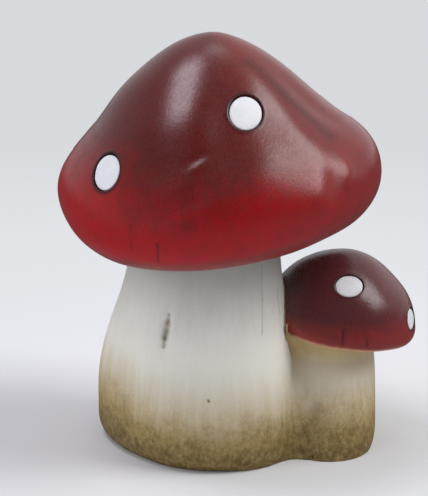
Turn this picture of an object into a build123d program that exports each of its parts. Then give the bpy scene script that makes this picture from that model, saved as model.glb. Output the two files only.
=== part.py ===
from build123d import *
from math import cos, pi, radians, sin
import os

# Ceramic ornament of two toadstools, a tall one and a short one that leans on its stem.
# Millimetres, +Z up, origin at the centre of the tall stem's foot, the viewer's side at -Y.
# Bearings are degrees about +Z, counted from +X towards +Y.

# Tall stem
large_foot_radius = 28.0
large_foot_roll = 6.0
large_belly_radius = 36.5
large_belly_height = 13.0
large_neck_radius = 26.5
large_stem_height = 80.4
large_stem_lean = 3.4
large_stem_oval = 4.8
large_oval_bearing = -51.0
large_stem_wall = 4.5
large_stem_floor = 5.0

# Tall cap, measured from its seat on the stem
large_cap_tilt = 6.4
large_cap_offset = 5.8
large_seat_radius = 26.0
large_brim_radius = 57.0
large_brim_height = 16.0
large_dome_height = 52.5
large_lip_width = 19.0
large_lip_sag = 4.5
large_cap_wall = 4.5

# Short stem, set against the tall one
small_bearing = -7.5
small_seam_lap = 3.0
small_seam_height = 12.0
small_foot_radius = 15.0
small_foot_roll = 8.0
small_belly_radius = 17.4
small_belly_height = 18.0
small_neck_radius = 14.8
small_stem_height = 39.4
small_lean_out = -1.6
small_lean_back = 11.0
small_stem_oval = 2.0
small_oval_bearing = 90.0
small_stem_wall = 4.0
small_stem_floor = 4.5

# Short cap, measured from its seat on the stem
small_cap_tilt = -8.8
small_cap_offset = 4.2
small_seat_radius = 14.4
small_brim_radius = 27.9
small_brim_height = 5.0
small_dome_height = 26.5
small_lip_width = 6.8
small_lip_sag = 0.4
small_cap_wall = 3.6

# Neck joints: a collar on the stem stands in the cap's neck hole, inside the ring that the cap rests on
large_seat_ring = 4.0
small_seat_ring = 4.1
collar_wall = 4.0
collar_height = 9.0
collar_gap = 0.5
ledge_depth = 9.0

# Joining slip, and its clearance where it lies between curved walls
slip_thickness = 0.8
seam_gap = 0.1

# Vents through the floors
large_vent_radius = 4.0
large_vent_back = 13.0
small_vent_radius = 2.5

# White spots: flat discs on the floors of round recesses
large_spot_radius = 6.0
small_spot_radius = 4.6
spot_gap = 0.6
recess_depth = 2.1
disc_thickness = 1.2

# Bearing round the cap, and way up the dome from brim (0) to apex (1), of each spot
large_spots = [(290, 0.46), (224, 0.205), (10, 0.28), (58, 0.2), (108, 0.47), (162, 0.26)]
small_spots = [(264, 0.49), (336, 0.16), (55, 0.42), (120, 0.5)]

# Dome outlines between brim and apex, as shares of the brim radius and of the dome height
large_dome_shares = [(0.895, 0.23), (0.714, 0.438), (0.544, 0.65), (0.342, 0.848), (0.153, 0.964)]
small_dome_shares = [(0.85, 0.37), (0.57, 0.73), (0.28, 0.93)]

# Points round each section, and a length past every piece for the cuts
ring_points = 12
reach = 200.0


def closed_ring(point_at):
    """Smooth closed wire through the points that point_at gives around a form."""
    turns = [2 * pi * i / ring_points for i in range(ring_points)]
    return Wire([Edge.make_spline([Vector(*point_at(turn)) for turn in turns], periodic=True)])


def upright(radius, length):
    """Cylinder that stands on its own origin."""
    return Cylinder(radius, length, align=(Align.CENTER, Align.CENTER, Align.MIN))


class Stem:
    """A stem's outside: rolled foot, upright belly, then a waist that eases in to the neck."""

    roll_steps = 4
    waist_steps = 7
    waist_ease = 0.9

    def __init__(self, foot, roll, belly, belly_height, neck, height, lean, oval, oval_bearing, stand):
        self.foot = foot
        self.roll = roll
        self.belly = belly
        self.belly_height = belly_height
        self.neck = neck
        self.height = height
        self.lean = lean
        self.oval = oval
        self.oval_bearing = radians(oval_bearing)
        self.stand = stand

    def radius(self, z, turn):
        """Radius at a height; the oval plan of the foot fades to a round neck."""
        plain = self.belly
        if z < self.roll:
            plain -= (self.belly - self.foot) * (1 - max(0, z) / self.roll) ** 3
        if z > self.belly_height:
            share = min(1, (z - self.belly_height) / (self.height - self.belly_height))
            plain -= (self.belly - self.neck) * (1 - cos(pi * share**self.waist_ease)) / 2
        fade = min(1, max(0, 1 - z / self.height))
        return plain * (1 + self.oval / self.belly * fade * cos(2 * (turn - self.oval_bearing)))

    def axis(self, z):
        """Centre of the stem at a height, as x and y."""
        share = z / self.height
        return self.stand[0] + self.lean[0] * share, self.stand[1] + self.lean[1] * share

    def ring(self, z, grow):
        """Section at a height, grown outwards or, below zero, inwards."""
        x, y = self.axis(z)

        def point_at(turn):
            r = self.radius(z, turn) + grow
            return x + r * cos(turn), y + r * sin(turn), z

        return closed_ring(point_at)

    def body(self, low, high, grow=0.0):
        """Closed solid between two heights."""
        step = self.roll / self.roll_steps
        rise = (self.height - self.belly_height) / self.waist_steps
        levels = [step * i for i in range(self.roll_steps + 1)]
        levels += [self.belly_height + rise * i for i in range(self.waist_steps + 1)]
        levels = [z for z in levels if low + step / 2 < z < high - step / 2]
        return Solid.make_loft([self.ring(z, grow) for z in [low, *levels, high]])


class Cap:
    """A turned cap: flat seat, underside that falls to the lip, rounded brim and full dome.

    The cap's axis stands beside the centre of its seat, by the offset along +X.
    """

    def __init__(self, seat, brim, brim_height, dome, outline, lip, sag, offset):
        self.seat = seat
        self.brim = brim
        self.brim_height = brim_height
        self.dome = dome
        self.outline = outline
        self.lip = lip
        self.sag = sag
        self.offset = offset

    def dome_line(self):
        """Curve of the dome from the brim, where it stands upright, to the level apex."""
        shares = [(1, 0), *self.outline, (0, 1)]
        points = [(self.brim * out, self.brim_height + self.dome * up) for out, up in shares]
        return Spline(*points, tangents=((0, 1), (-1, 0)), tangent_scalars=(1, 1))

    def facing(self, bearing, way_up):
        """Plane that touches the dome from outside at a bearing and a way up its curve."""
        line = self.dome_line()
        here = line @ way_up
        along = line % way_up
        turn = radians(bearing)
        origin = Vector(self.offset + here.X * cos(turn), here.X * sin(turn), here.Y)
        return Plane(origin=origin, z_dir=(along.Y * cos(turn), along.Y * sin(turn), -along.X))

    def body(self, wall=0.0):
        """Closed solid of the form, or of the space one wall inside it."""
        form = Cap(self.seat, self.brim - wall, self.brim_height, self.dome - wall, self.outline,
                   self.lip - wall, self.sag - wall, self.offset)
        flat = form.seat + form.offset
        lip_centre = form.brim - form.lip
        lip_drop = form.brim_height + form.sag
        section = [
            Line((0, wall), (flat, wall)),
            Line((flat, wall), (lip_centre, -form.sag)),
            EllipticalCenterArc((lip_centre, form.brim_height), form.lip, lip_drop, 270, arc_size=90),
            form.dome_line(),
            Line((0, form.brim_height + form.dome), (0, wall)),
        ]
        face = Plane.XZ * make_face(section)
        return Pos(self.offset, 0, 0) * revolve(face, Axis.Z)


def shoulder_of(stem, tilt):
    """Tilted frame at the centre of the stem's flat shoulder; a positive tilt lifts the +X side."""
    x, y = stem.axis(stem.height)
    return Location((x, y, stem.height), (0, -tilt, 0))


def stem_casting(stem, shoulder, collar, wall, floor, vent):
    """Hollow stem with a flat shoulder, a collar above it and a vent through its floor."""
    below = shoulder * Pos(0, 0, -ledge_depth)
    casting = stem.body(0, stem.height + ledge_depth)
    casting -= shoulder * upright(reach, reach)
    casting += below * upright(collar, ledge_depth + slip_thickness + collar_height)
    casting -= stem.body(floor, stem.height - ledge_depth, -wall)
    casting -= below * Pos(0, 0, -ledge_depth / 2) * upright(collar - collar_wall, reach)
    return casting - vent


def cap_casting(cap, wall, hole):
    """Hollow cap with its neck hole, on its own seat."""
    return cap.body() - cap.body(wall) - Cylinder(hole, 4 * wall)


def neck_slip(seat_radius, hole):
    """Ring of slip that fills the joint below a cap's seat."""
    ring = upright(seat_radius - collar_gap, slip_thickness) - upright(hole, slip_thickness)
    return Pos(0, 0, -slip_thickness) * ring


def spot_recess(cap, spot, radius):
    """What is cut away for one spot."""
    floor = cap.facing(*spot).location * Pos(0, 0, -recess_depth)
    return floor * upright(radius + spot_gap, 4 * recess_depth)


def spot_disc(cap, spot, radius):
    """One spot, on the floor of its recess."""
    floor = cap.facing(*spot).location * Pos(0, 0, -recess_depth)
    return floor * upright(radius, disc_thickness)


# Tall toadstool
large_stem_form = Stem(
    large_foot_radius,
    large_foot_roll,
    large_belly_radius,
    large_belly_height,
    large_neck_radius,
    large_stem_height,
    (large_stem_lean, 0),
    large_stem_oval,
    large_oval_bearing,
    (0, 0),
)
large_cap_form = Cap(
    large_seat_radius,
    large_brim_radius,
    large_brim_height,
    large_dome_height,
    large_dome_shares,
    large_lip_width,
    large_lip_sag,
    large_cap_offset,
)
large_shoulder = shoulder_of(large_stem_form, large_cap_tilt)
large_seat = large_shoulder * Pos(0, 0, slip_thickness)
large_collar = large_seat_radius - large_seat_ring
large_hole = large_collar + collar_gap
large_vent = Pos(0, large_vent_back, 0) * Cylinder(large_vent_radius, 4 * large_stem_floor)
large_stem = stem_casting(
    large_stem_form,
    large_shoulder,
    large_collar,
    large_stem_wall,
    large_stem_floor,
    large_vent,
)
large_cap = cap_casting(large_cap_form, large_cap_wall, large_hole)
for spot in large_spots:
    large_cap -= spot_recess(large_cap_form, spot, large_spot_radius)

# Short toadstool, whose stem laps the tall one at the seam's height
small_stem_form = Stem(
    small_foot_radius,
    small_foot_roll,
    small_belly_radius,
    small_belly_height,
    small_neck_radius,
    small_stem_height,
    (small_lean_out, small_lean_back),
    small_stem_oval,
    small_oval_bearing,
    (0, 0),
)
small_turn = radians(small_bearing)
small_out = large_stem_form.radius(small_seam_height, small_turn) - small_seam_lap
small_out += small_stem_form.radius(small_seam_height, small_turn + pi)
small_stem_form.stand = (small_out * cos(small_turn), small_out * sin(small_turn))
small_cap_form = Cap(
    small_seat_radius,
    small_brim_radius,
    small_brim_height,
    small_dome_height,
    small_dome_shares,
    small_lip_width,
    small_lip_sag,
    small_cap_offset,
)
small_shoulder = shoulder_of(small_stem_form, small_cap_tilt)
small_seat = small_shoulder * Pos(0, 0, slip_thickness)
small_collar = small_seat_radius - small_seat_ring
small_hole = small_collar + collar_gap
small_vent = Pos(*small_stem_form.stand) * Cylinder(small_vent_radius, 4 * small_stem_floor)
small_stem = stem_casting(
    small_stem_form,
    small_shoulder,
    small_collar,
    small_stem_wall,
    small_stem_floor,
    small_vent,
)
small_cap = cap_casting(small_cap_form, small_cap_wall, small_hole)
for spot in small_spots:
    small_cap -= spot_recess(small_cap_form, spot, small_spot_radius)
small_cap = small_seat * small_cap

# The short castings stop one slip layer short of the tall stem's wall
tall_top = large_stem_height + ledge_depth
tall_wall = large_stem_form.body(0, tall_top, seam_gap)
tall_slip = large_stem_form.body(0, tall_top, slip_thickness - seam_gap)
tall_cut = large_stem_form.body(0, tall_top, slip_thickness)

pieces = {
    "large_stem": large_stem,
    "large_cap": large_seat * large_cap,
    "large_neck_slip": large_seat * neck_slip(large_seat_radius, large_hole),
    "small_stem": small_stem - tall_cut,
    "small_cap": small_cap - tall_cut,
    "small_neck_slip": small_seat * neck_slip(small_seat_radius, small_hole),
    "stem_seam_slip": (small_stem & tall_slip) - tall_wall,
    "cap_seam_slip": (small_cap & tall_slip) - tall_wall,
}
for number, spot in enumerate(large_spots, 1):
    pieces[f"large_spot_{number}"] = large_seat * spot_disc(large_cap_form, spot, large_spot_radius)
for number, spot in enumerate(small_spots, 1):
    pieces[f"small_spot_{number}"] = small_seat * spot_disc(small_cap_form, spot, small_spot_radius)

os.makedirs("parts", exist_ok=True)
for name, piece in pieces.items():
    export_step(piece, f"parts/{name}.step")
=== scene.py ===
import math

import bpy
import numpy as np
from bpy.props import FloatProperty, FloatVectorProperty, PointerProperty
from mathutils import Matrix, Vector, noise
from mathutils.bvhtree import BVHTree


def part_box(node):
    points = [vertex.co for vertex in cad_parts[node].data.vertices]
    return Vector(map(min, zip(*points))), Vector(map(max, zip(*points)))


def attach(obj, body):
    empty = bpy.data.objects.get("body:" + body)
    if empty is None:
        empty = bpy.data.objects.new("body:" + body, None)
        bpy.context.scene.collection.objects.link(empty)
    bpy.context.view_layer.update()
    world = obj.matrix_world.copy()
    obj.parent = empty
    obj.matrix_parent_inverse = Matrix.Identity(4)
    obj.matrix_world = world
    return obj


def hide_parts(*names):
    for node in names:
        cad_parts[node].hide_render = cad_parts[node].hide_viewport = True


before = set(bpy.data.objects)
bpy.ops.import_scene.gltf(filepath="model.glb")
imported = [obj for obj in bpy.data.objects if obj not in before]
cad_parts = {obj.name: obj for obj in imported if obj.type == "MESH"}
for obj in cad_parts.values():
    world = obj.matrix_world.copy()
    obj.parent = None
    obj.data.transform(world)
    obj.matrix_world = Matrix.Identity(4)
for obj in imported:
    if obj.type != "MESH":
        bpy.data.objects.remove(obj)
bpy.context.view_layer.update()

bl_info = {
    "name": "Ceramic toadstool pair",
    "version": (1, 0, 0),
    "blender": (4, 5, 0),
    "location": "View3D > Sidebar > Toadstools",
    "description": "A tall and a short ceramic toadstool, glazed, washed and set on a pale floor",
    "category": "Object",
}

TAU = 2 * math.pi
BODY = "root"
MM = 0.001
TINY = 1e-12


# Properties: the sizes and colours that a user would change

def length(name, description, millimetres):
    """A size in metres whose default is written in millimetres."""
    return FloatProperty(name=name, description=description, default=millimetres / 1000,
                         unit="LENGTH", precision=5)


def angle(name, description, degrees):
    """An angle whose default is written in degrees."""
    return FloatProperty(name=name, description=description, default=math.radians(degrees),
                         subtype="ANGLE")


def ratio(name, description, value):
    """A plain number."""
    return FloatProperty(name=name, description=description, default=value, precision=4)


def linear(red, green, blue):
    """Linear colour of screen values from 0 to 255."""
    shares = [value / 255 for value in (red, green, blue)]
    return [s / 12.92 if s <= 0.04045 else ((s + 0.055) / 1.055) ** 2.4 for s in shares]


def paint(name, description, red, green, blue):
    """A colour whose default is written in screen values."""
    return FloatVectorProperty(name=name, description=description, default=linear(red, green, blue),
                               subtype="COLOR", size=3, min=0, max=1)


def middle(node):
    """Centre of a CAD node's box."""
    low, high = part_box(node)
    return (low + high) / 2


# Places that the frame gives, in millimetres: shoulders under the slip rings, and the short stem's stand
SLIP_HALF = 0.4
TALL_SEAT = middle("large_neck_slip") * 1000
SHORT_SEAT = middle("small_neck_slip") * 1000
TALL_SHOULDER = TALL_SEAT.z - SLIP_HALF
SHORT_SHOULDER = SHORT_SEAT.z + SLIP_HALF * 0.7
SHORT_LEAN = (-1.6, 11.0)
SHORT_STAND = (SHORT_SEAT.x - SHORT_LEAN[0], SHORT_SEAT.y - SHORT_LEAN[1])


# Sizes of a stem: kind, label, meaning, and the values of the tall and of the short one
STEM_SIZES = {
    "foot": (length, "Foot radius", "Flat of the foot", 32.6, 16.3),
    "web": (length, "Web", "Extra foot radius to one side", 3.2, 2.0),
    "web_bearing": (angle, "Web bearing", "Direction of that extra radius", -22.0, 230.0),
    "roll": (length, "Foot roll", "Height of the rolled edge above the foot", 10.0, 10.0),
    "belly": (length, "Belly radius", "Widest radius of the stem", 36.5, 18.0),
    "belly_height": (length, "Belly height", "Where the stem starts to narrow", 13.0, 18.0),
    "neck": (length, "Neck radius", "Radius below the cap", 26.5, 17.0),
    "height": (length, "Height", "Centre of the shoulder above the floor", TALL_SHOULDER, SHORT_SHOULDER),
    "ease": (ratio, "Waist ease", "How late the waist draws in", 1.15, 1.3),
    "lean_x": (length, "Lean out", "Sideways travel of the axis", 3.4, SHORT_LEAN[0]),
    "lean_y": (length, "Lean back", "Travel of the axis away from the viewer", 0.0, SHORT_LEAN[1]),
    "oval": (length, "Oval", "Extra radius along the long way of the foot", 4.8, 2.0),
    "oval_bearing": (angle, "Oval bearing", "Direction of the long way", -51.0, 90.0),
    "tilt": (angle, "Tilt", "Lift of the shoulder towards the right", 6.4, -8.8),
    "stand_x": (length, "Stand x", "Foot centre", 0.0, SHORT_STAND[0]),
    "stand_y": (length, "Stand y", "Foot centre", 0.0, SHORT_STAND[1]),
    "flare": (length, "Flare", "Extra radius where the stem meets the cap, most on the left", 0.0, 9.0),
    "flare_height": (length, "Flare height", "Height of the flare", 5.0, 7.0),
    "flare_rise": (length, "Flare rise", "Lift of the flare into the cap", 0.0, 2.4),
    "vent": (length, "Vent radius", "Hole through the floor", 4.0, 2.5),
    "vent_back": (length, "Vent place", "Vent behind the foot's centre", 13.0, 0.0),
    "floor": (length, "Floor", "Thickness of the foot", 5.0, 4.5),
}


def stem_settings(column):
    """Properties of one stem, from its column of values."""
    return {name: kind(label, meaning, values[column])
            for name, (kind, label, meaning, *values) in STEM_SIZES.items()}


class TallStem(bpy.types.PropertyGroup):
    """Sizes of the tall stem."""

    __annotations__ = stem_settings(0)


class ShortStem(bpy.types.PropertyGroup):
    """Sizes of the short stem."""

    __annotations__ = stem_settings(1)


class Spots(bpy.types.PropertyGroup):
    """Sizes of the white spots and of the recesses they lie in."""

    large: length("Large radius", "Disc radius on the tall cap", 6.0)
    small: length("Small radius", "Disc radius on the short cap", 4.6)
    gap: length("Gap", "Clear ring between a disc and its recess", 0.5)
    lip: length("Lip width", "Raised ring of glaze round a recess", 1.2)
    lip_rise: length("Lip rise", "Height of that ring", 0.1)
    sink: length("Sink", "Face of a disc below the glaze", 0.25)
    thickness: length("Thickness", "Disc thickness", 1.4)


class Finish(bpy.types.PropertyGroup):
    """Colours of the glazes, the clay and the washes."""

    crown: paint("Crown", "Tall cap, top of the dome", 82, 21, 20)
    crimson: paint("Crimson", "Tall cap, lower dome", 154, 5, 16)
    # Brim: the tall cap's paler lower edge, a painted reflection of the floor
    brim: paint("Brim", "Tall cap, dusty edge below the brim", 126, 39, 37)
    russet: paint("Russet", "Tall cap, side of the short toadstool", 116, 34, 32)
    maroon: paint("Maroon", "Short cap, top of the dome", 82, 38, 40)
    wine: paint("Wine", "Short cap, band above the brim", 124, 36, 34)
    biscuit: paint("Biscuit", "Bare edge of the short cap's brim", 206, 160, 130)
    # Dark tone round the spots: pooled glaze on the lip and painted shade on the recess wall and floor; also
    # the glaze cracks
    rim: paint("Rim", "Dark glaze pooled round the spots", 62, 23, 24)
    white: paint("White", "Spot discs", 211, 212, 215)
    ivory: paint("Ivory", "Stems", 222, 221, 213)
    ochre: paint("Ochre", "Thin wash above the foot", 157, 130, 66)
    umber: paint("Umber", "Thick wash at the foot", 94, 75, 38)
    slip: paint("Slip", "Joining slip in the seams", 176, 160, 130)


class Studio(bpy.types.PropertyGroup):
    """Camera, lamps and floor."""

    elevation: angle("Elevation", "Camera above the level", 15.0)
    distance: length("Distance", "Camera to the aim", 650.0)
    aim_x: length("Aim x", "Point in the middle of the picture", 6.47)
    aim_y: length("Aim y", "Point in the middle of the picture", -0.71)
    aim_z: length("Aim z", "Point in the middle of the picture", 72.36)
    lens: ratio("Lens", "Focal length in millimetres on a 36 mm sensor", 131.2)
    key: ratio("Key", "Power of the soft box on the left, in watts", 4.9)
    fill: ratio("Fill", "Power of the soft box on the right, in watts", 8.6)
    top: ratio("Top", "Power of the small soft box overhead, in watts", 0.5)
    sky: ratio("Sky", "Strength of the surrounding light", 0.19)
    side: ratio("Side", "Strength of the surrounding light on the left", 1.85)
    back: ratio("Back", "Strength of the backdrop in reflections", 0.9)
    dim: ratio("Dim", "Strength of the dark room behind the camera in reflections", 0.02)
    floor: paint("Floor", "Floor as it lights the part", 238, 240, 243)
    shown: paint("Shown floor", "Floor as the camera sees it", 216, 218, 221)
    backdrop: paint("Backdrop", "Even tone that the floor fades into", 228, 230, 234)


# Node building

class Sock:
    """A node's output that arithmetic can be written with; each operator adds a Math node."""

    def __init__(self, graph, socket):
        self.graph = graph
        self.socket = socket

    def other(self, key):
        """Another output of the same node."""
        return Sock(self.graph, self.socket.node.outputs[key])

    def __add__(self, value):
        return self.graph.math("ADD", self, value)

    def __radd__(self, value):
        return self.graph.math("ADD", value, self)

    def __sub__(self, value):
        return self.graph.math("SUBTRACT", self, value)

    def __rsub__(self, value):
        return self.graph.math("SUBTRACT", value, self)

    def __mul__(self, value):
        return self.graph.math("MULTIPLY", self, value)

    def __truediv__(self, value):
        return self.graph.math("DIVIDE", self, value)

    def __pow__(self, value):
        return self.graph.math("POWER", self, value)

    def swing(self):
        """A noise from 0 to 1 as its distance from the middle."""
        return self - 0.5


class Graph:
    """Adds nodes to a shader or geometry tree."""

    def __init__(self, tree):
        self.tree = tree

    def node(self, kind, settings, sockets, output=0):
        """Any node: its settings first, then the values or links of its sockets, by name or number."""
        made = self.tree.nodes.new(kind)
        for key, value in settings.items():
            setattr(made, key, value)
        for key, value in sockets.items():
            if isinstance(value, Sock):
                self.tree.links.new(value.socket, made.inputs[key])
            else:
                made.inputs[key].default_value = value
        return Sock(self, made.outputs[output]) if made.outputs else made

    def math(self, operation, *values):
        return self.node("ShaderNodeMath", {"operation": operation}, dict(enumerate(values)))

    def cut(self, value, low, high):
        """Value held between two limits."""
        return self.node("ShaderNodeClamp", {}, {"Value": value, "Min": low, "Max": high})

    def ease(self, value, start, end, low=0.0, high=1.0, soft=False):
        """Value that goes from low to high as the given one goes from start to end."""
        settings = {"interpolation_type": "SMOOTHSTEP" if soft else "LINEAR"}
        sockets = {0: value, 1: start, 2: end, 3: low, 4: high}
        return self.node("ShaderNodeMapRange", settings, sockets)

    def mix(self, share, first, second):
        """Colour between two colours."""
        colours = [c if isinstance(c, Sock) else (*c, 1) for c in (first, second)]
        return self.node("ShaderNodeMix", {"data_type": "RGBA"},
                         {0: share, 6: colours[0], 7: colours[1]}, output=2)

    def coat(self, colour, *layers):
        """Colour under layers, each given as its share and its tone."""
        for share, tone in layers:
            colour = self.mix(share, colour, tone)
        return colour

    def vector(self, x, y, z):
        return self.node("ShaderNodeCombineXYZ", {}, {0: x, 1: y, 2: z})

    def parts(self, vector):
        """The three numbers of a vector."""
        first = self.node("ShaderNodeSeparateXYZ", {}, {0: vector})
        return first, first.other("Y"), first.other("Z")

    def combine(self, operation, first, second, output="Vector"):
        """Arithmetic on two vectors."""
        return self.node("ShaderNodeVectorMath", {"operation": operation}, {0: first, 1: second}, output)

    def scaled(self, vector, factor):
        """Vector times one number."""
        return self.node("ShaderNodeVectorMath", {"operation": "SCALE"}, {0: vector, "Scale": factor})

    def noise(self, vector, scale, detail=3.0, roughness=0.5):
        """Cloudy noise from 0 to 1; the scale is in cycles per metre on object coordinates."""
        sockets = {"Vector": vector, "Scale": scale, "Detail": detail, "Roughness": roughness}
        return self.node("ShaderNodeTexNoise", {}, sockets)

    def inlets(self, kinds):
        """Named inputs of a geometry tree."""
        for name, kind in kinds.items():
            self.tree.interface.new_socket(name=name, in_out="INPUT", socket_type=kind)
        entry = self.tree.nodes.new("NodeGroupInput")
        return {name: Sock(self, entry.outputs[name]) for name in kinds}

    def sheet(self, columns, rows):
        """Grid, with the turn along its columns, a full circle, and the way from 0 to 1 along its rows."""
        grid = self.node("GeometryNodeMeshGrid", {}, {"Vertices X": columns, "Vertices Y": rows,
                                                      "Size X": 1.0, "Size Y": 1.0})
        turn, way, _ = self.parts(grid.other("UV Map"))
        return grid, turn * TAU, way

    def outlet(self, geometry, material):
        """The finished geometry of a tree, with its material."""
        painted = self.node("GeometryNodeSetMaterial", {}, {"Geometry": geometry, "Material": material})
        self.tree.interface.new_socket(name="Geometry", in_out="OUTPUT", socket_type="NodeSocketGeometry")
        leave = self.tree.nodes.new("NodeGroupOutput")
        self.tree.links.new(painted.socket, leave.inputs[0])


def geometry_tree(name, lengths, geometry=None):
    """Geometry tree, its graph and its inputs: named lengths, a material and, if named, a geometry."""
    tree = bpy.data.node_groups.new(name, "GeometryNodeTree")
    graph = Graph(tree)
    kinds = {geometry: "NodeSocketGeometry"} if geometry else {}
    kinds.update({key: "NodeSocketFloat" for key in lengths})
    return tree, graph, graph.inlets({**kinds, "material": "NodeSocketMaterial"})


def grow(name, tree, values, start=None):
    """New plain object with the mesh that a geometry tree makes from its named inputs."""
    seed = bpy.data.objects.new(name + "_seed", start or bpy.data.meshes.new(name + "_seed"))
    bpy.context.scene.collection.objects.link(seed)
    modifier = seed.modifiers.new("Tree", "NODES")
    modifier.node_group = tree
    for item in tree.interface.items_tree:
        if item.in_out == "INPUT" and item.name in values:
            modifier[item.identifier] = values[item.name]
    evaluated = seed.evaluated_get(bpy.context.evaluated_depsgraph_get())
    mesh = bpy.data.meshes.new_from_object(evaluated)
    bpy.data.objects.remove(seed)
    return add_piece(name, mesh)


def add_piece(name, mesh):
    """Object at the origin for a finished mesh."""
    mesh.name = name
    piece = bpy.data.objects.new(name, mesh)
    bpy.context.scene.collection.objects.link(piece)
    return piece


def settle(piece, slot, *nodes):
    """Sets a finished piece in the frame in place of its CAD nodes."""
    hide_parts(*nodes)
    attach(piece, BODY)


# Stems: a geometry tree that raises a stem from a grid

STEM_TURNS = 320
STEM_ROWS = 240
FOOT_SHARE = 0.14
TOP_SHARE = 0.04
VENT_SHARE = 0.3
VENT_TOP_SHARE = 0.12
WELD = 0.00001
ROLL_POWER = 3
WEB_POWER = 3
FLARE_POWER = 2
FLARE_EVEN = 0.55
FLARE_LEFT = 0.45
TILT_POWER = 8


def stem_tree():
    """Foot with its vent, rolled edge, belly, waist and tilted shoulder, from named sizes."""
    tree, graph, size = geometry_tree("Toadstool stem", STEM_SIZES)
    grid, turn, way = graph.sheet(STEM_TURNS, STEM_ROWS)
    cosine = graph.math("COSINE", turn)
    sine = graph.math("SINE", turn)
    foot_way = way / FOOT_SHARE
    spread = graph.ease(foot_way, VENT_SHARE, 1.0)
    climb = graph.ease(foot_way, VENT_TOP_SHARE, VENT_SHARE, 1.0, 0.0) * size["floor"]
    opening = graph.ease(foot_way, 0.0, VENT_TOP_SHARE)
    closing = graph.ease(way, 1 - TOP_SHARE, 1.0, 1.0, 0.0)
    share = graph.ease(way, FOOT_SHARE, 1 - TOP_SHARE)
    rise = share * size["height"]

    rolled = graph.cut(1 - rise / size["roll"], 0.0, 1.0) ** ROLL_POWER
    waist = graph.cut((rise - size["belly_height"]) / (size["height"] - size["belly_height"]), 0.0, 1.0)
    drawn = (1 - graph.math("COSINE", waist ** size["ease"] * math.pi)) / 2
    toward_web = graph.math("COSINE", turn - size["web_bearing"])
    web = graph.cut(toward_web, 0.0, 1.0) ** WEB_POWER * size["web"]
    plain = size["belly"] - (size["belly"] - size["foot"] - web) * rolled
    plain = plain - (size["belly"] - size["neck"]) * drawn
    flared = graph.cut((rise - size["height"]) / size["flare_height"] + 1, 0.0, 1.0) ** FLARE_POWER
    flared = flared * (FLARE_EVEN - cosine * FLARE_LEFT)
    plain = plain + flared * size["flare"]
    long_way = graph.math("COSINE", (turn - size["oval_bearing"]) * 2)
    swell = long_way * (1 - share) * size["oval"] / size["belly"]
    radius = size["vent"] + (plain * (swell + 1) - size["vent"]) * spread
    radius = radius * opening * closing

    out_x = radius * cosine
    out_y = radius * sine
    centre_x = size["stand_x"] + size["lean_x"] * share
    centre_y = size["stand_y"] + size["lean_y"] * share + size["vent_back"] * (1 - spread)
    tilted = share ** TILT_POWER * graph.math("TANGENT", size["tilt"]) * out_x
    lifted = rise + climb + tilted + flared * size["flare_rise"]
    place = graph.vector(centre_x + out_x, centre_y + out_y, lifted)
    flow = graph.vector(cosine, sine, share)

    body = graph.node("GeometryNodeSetPosition", {}, {"Geometry": grid, "Position": place})
    body = graph.node("GeometryNodeStoreNamedAttribute", {"data_type": "FLOAT_VECTOR", "domain": "POINT"},
                      {"Geometry": body, "Name": "flow", "Value": flow})
    body = graph.node("GeometryNodeMergeByDistance", {}, {"Geometry": body, "Distance": WELD})
    body = graph.node("GeometryNodeRealizeInstances", {}, {"Geometry": body})
    graph.outlet(body, size["material"])
    return tree


# Surface work: relief and dents on finished meshes

def read_vectors(data, key):
    """Vectors of a mesh's vertices or normals, as rows."""
    values = np.empty(len(data) * 3, np.float32)
    data.foreach_get(key, values)
    return values.reshape(-1, 3).astype(float)


def model_surface(mesh, hollows, relief, relief_size):
    """Presses hollows and a soft unevenness into a mesh, but nothing below the floor."""
    places = read_vectors(mesh.vertices, "co")
    normals = read_vectors(mesh.vertex_normals, "vector")
    depth = np.array([noise.noise(Vector(p / relief_size)) for p in places]) * relief
    for point, along, reach, width, deep in hollows:
        away = places - np.array(point)
        run = away @ np.array(Vector(along).normalized())
        side = np.maximum(0, (away ** 2).sum(1) - run ** 2)
        depth -= deep * np.exp(-((run / reach) ** 2) - side / width ** 2)
    places += normals * depth[:, None]
    places[:, 2] = np.maximum(places[:, 2], 0)
    mesh.vertices.foreach_set("co", places.astype(np.float32).ravel())
    mesh.update()


def store(mesh, name, vectors):
    """Keeps a vector for each vertex of a mesh."""
    values = np.array(vectors, np.float32).ravel()
    mesh.attributes.new(name, "FLOAT_VECTOR", "POINT").data.foreach_set("vector", values)


def smooth_shading(mesh, sharpest=50.0):
    """Smooth normals, kept apart over edges sharper than an angle in degrees."""
    mesh.polygons.foreach_set("use_smooth", np.ones(len(mesh.polygons), bool))
    mesh.set_sharp_from_angle(angle=math.radians(sharpest))


def press_against(mesh, wall, clearance):
    """Lays every vertex that is inside another piece on its wall instead, but not below the floor."""
    tree = BVHTree.FromObject(wall, bpy.context.evaluated_depsgraph_get())
    for vertex in mesh.vertices:
        place, normal, _, _ = tree.find_nearest(vertex.co)
        if (vertex.co - place).dot(normal) < clearance:
            vertex.co = place + normal * clearance
            vertex.co.z = max(vertex.co.z, 0)
    mesh.update()


# Caps: waved turned forms with round recesses for the spots

CAP_TURNS = 400


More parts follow.
